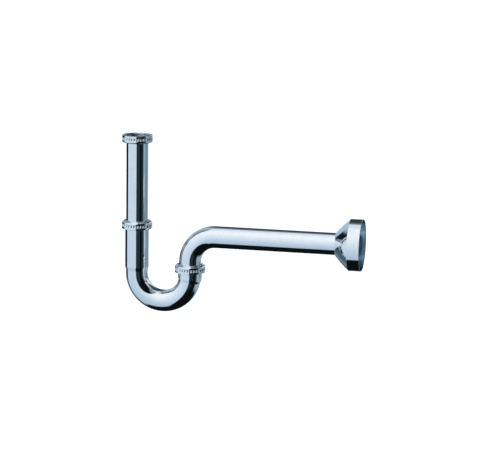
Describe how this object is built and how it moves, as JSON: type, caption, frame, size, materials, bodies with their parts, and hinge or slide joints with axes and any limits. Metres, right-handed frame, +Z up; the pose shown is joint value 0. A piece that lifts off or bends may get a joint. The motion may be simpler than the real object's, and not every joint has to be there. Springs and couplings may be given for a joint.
{
  "type": "p trap",
  "caption": "Tubular P trap: a chromed U-bend with slip nuts joins a basin's inlet tube to a horizontal wall pipe with a flared wall escutcheon.",
  "frame": {"origin": "centre of the upper face of the flat gasket in the union nut, where the basin waste seats", "axes": "+Z up along the inlet tube's axis, +X along the wall pipe towards the wall, +Y to the back"},
  "size_m": [0.3538, 0.075, 0.2589],
  "materials": {
    "chrome": "polished chrome plate on drawn brass tube and turned nuts",
    "brass": "turned brass, unplated and slightly dulled",
    "rubber": "black moulded rubber, matte",
    "white_plastic": "natural white polyethylene, slightly waxy"
  },
  "bodies": {
    "inlet_tube": {"inlet_tube": "chrome", "inlet_gasket": "rubber"},
    "inlet_friction_ring": {"inlet_friction_ring": "white_plastic"},
    "inlet_union_nut": {"inlet_union_nut": "chrome"},
    "upper_seal": {"upper_seal": "rubber"},
    "u_bend": {"u_bend": "chrome", "upper_ferrule": "brass", "outlet_ferrule": "brass"},
    "upper_thrust_ring": {"upper_thrust_ring": "white_plastic"},
    "upper_slip_nut": {"upper_slip_nut": "chrome"},
    "outlet_seal": {"outlet_seal": "rubber"},
    "outlet_bend": {"outlet_bend": "chrome"},
    "outlet_thrust_ring": {"outlet_thrust_ring": "white_plastic"},
    "outlet_slip_nut": {"outlet_slip_nut": "chrome"},
    "escutcheon_grip_ring": {"escutcheon_grip_ring": "rubber"},
    "escutcheon": {"escutcheon": "chrome"}
  },
  "joints": [
    {"name": "inlet_nut_slide", "type": "slide", "parent": "inlet_tube", "child": "inlet_friction_ring", "axis": [0, 0, -1], "range_m": [0, 0.07]},
    {"name": "inlet_nut_spin", "type": "hinge", "parent": "inlet_friction_ring", "child": "inlet_union_nut", "pos_m": [0, 0, 0], "axis": [0, 0, 1], "continuous": true},
    {"name": "trap_height", "type": "slide", "parent": "inlet_tube", "child": "upper_seal", "axis": [0, 0, 1], "range_m": [-0.02, 0.025]},
    {"name": "trap_swivel", "type": "hinge", "parent": "upper_seal", "child": "u_bend", "pos_m": [0, 0, -0.1974], "axis": [0, 0, 1], "continuous": true},
    {"name": "upper_nut_spin", "type": "hinge", "parent": "upper_thrust_ring", "child": "upper_slip_nut", "pos_m": [0, 0, -0.1314], "axis": [0, 0, 1], "range_deg": [0, 1080]},
    {"name": "upper_nut_travel", "type": "slide", "parent": "u_bend", "child": "upper_thrust_ring", "axis": [0, 0, 1], "range_m": [0, 0.00693]},
    {"name": "outlet_swivel", "type": "hinge", "parent": "u_bend", "child": "outlet_seal", "pos_m": [0.08, 0, -0.1974], "axis": [0, 0, 1], "range_deg": [-125, 125]},
    {"name": "outlet_height", "type": "slide", "parent": "outlet_seal", "child": "outlet_bend", "axis": [0, 0, 1], "range_m": [0, 0.006]},
    {"name": "outlet_nut_spin", "type": "hinge", "parent": "outlet_thrust_ring", "child": "outlet_slip_nut", "pos_m": [0.08, 0, -0.1921], "axis": [0, 0, 1], "range_deg": [0, 1080]},
    {"name": "outlet_nut_travel", "type": "slide", "parent": "u_bend", "child": "outlet_thrust_ring", "axis": [0, 0, 1], "range_m": [0, 0.00693]},
    {"name": "escutcheon_slide", "type": "slide", "parent": "outlet_bend", "child": "escutcheon_grip_ring", "axis": [1, 0, 0], "range_m": [-0.172, 0.012]},
    {"name": "escutcheon_spin", "type": "hinge", "parent": "escutcheon_grip_ring", "child": "escutcheon", "pos_m": [0.3314, 0, -0.1385], "axis": [1, 0, 0], "continuous": true}
  ],
  "couplings": [
    {"joint": "upper_nut_travel", "follows": "upper_nut_spin", "m_per_rad": 0.00036749},
    {"joint": "outlet_nut_travel", "follows": "outlet_nut_spin", "m_per_rad": 0.00036749}
  ]
}
